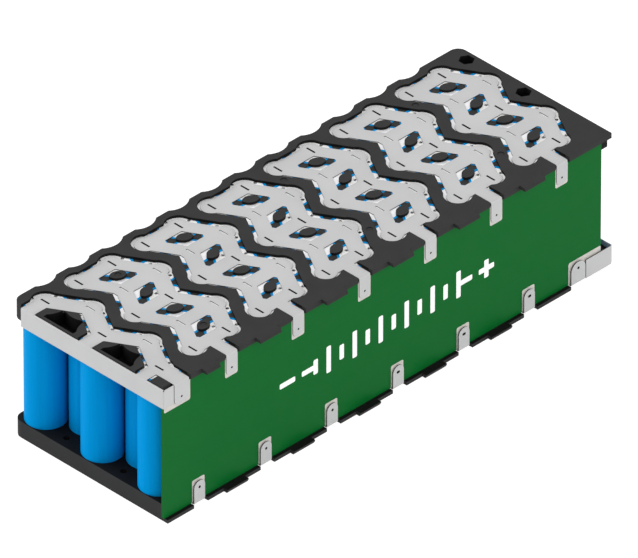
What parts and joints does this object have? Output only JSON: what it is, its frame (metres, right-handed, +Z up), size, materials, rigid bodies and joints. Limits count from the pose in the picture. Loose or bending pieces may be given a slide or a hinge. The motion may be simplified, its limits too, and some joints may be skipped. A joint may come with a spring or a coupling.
{
  "type": "e-bike battery pack",
  "caption": "Open lithium battery module: blue cells in two black holders, joined by folded nickel strips, with a green protection board.",
  "frame": {"origin": "centre of the underside of the pack, at the middle of its length and width", "axes": "+X along the pack towards the rear end with the nut pockets, the protection board on the -Y side, +Z up"},
  "size_m": [0.2636, 0.0938, 0.0678],
  "materials": {
    "holder_plastic": "moulded, fine matt",
    "nickel": "soft matt sheet",
    "board_lacquer": "solder mask, satin",
    "tinned_pads": "dull tin",
    "chip_plastic": "moulded",
    "shunt_metal": "dull",
    "cell_steel": "plated",
    "blue_sleeve": "shrink film, satin",
    "white_washer": "fibre card"
  },
  "bodies": {
    "root": {"top_holder": "holder_plastic", "bottom_holder": "holder_plastic", "top_strip_1": "nickel", "top_strip_2": "nickel", "top_strip_3": "nickel", "top_strip_4": "nickel", "top_strip_5": "nickel", "top_strip_6": "nickel", "top_strip_7": "nickel", "bottom_strip_1": "nickel", "bottom_strip_2": "nickel", "bottom_strip_3": "nickel", "bottom_strip_4": "nickel", "bottom_strip_5": "nickel", "bottom_strip_6": "nickel", "bottom_strip_7": "nickel", "protection_board": "board_lacquer", "board_pads": "tinned_pads", "power_transistors": "chip_plastic", "current_shunts": "shunt_metal", "control_chip": "chip_plastic", "balance_resistors": "chip_plastic", "cells_group_01": "cell_steel", "cells_group_02": "cell_steel", "cells_group_03": "cell_steel", "cells_group_04": "cell_steel", "cells_group_05": "cell_steel", "cells_group_06": "cell_steel", "cells_group_07": "cell_steel", "cells_group_08": "cell_steel", "cells_group_09": "cell_steel", "cells_group_10": "cell_steel", "cells_group_11": "cell_steel", "cells_group_12": "cell_steel", "cells_group_13": "cell_steel", "cell_sleeves_01": "blue_sleeve", "cell_sleeves_02": "blue_sleeve", "cell_sleeves_03": "blue_sleeve", "cell_sleeves_04": "blue_sleeve", "cell_sleeves_05": "blue_sleeve", "cell_sleeves_06": "blue_sleeve", "cell_sleeves_07": "blue_sleeve", "cell_sleeves_08": "blue_sleeve", "cell_sleeves_09": "blue_sleeve", "cell_sleeves_10": "blue_sleeve", "cell_sleeves_11": "blue_sleeve", "cell_sleeves_12": "blue_sleeve", "cell_sleeves_13": "blue_sleeve", "upper_washers": "white_washer", "lower_washers": "white_washer"}
  },
  "joints": []
}
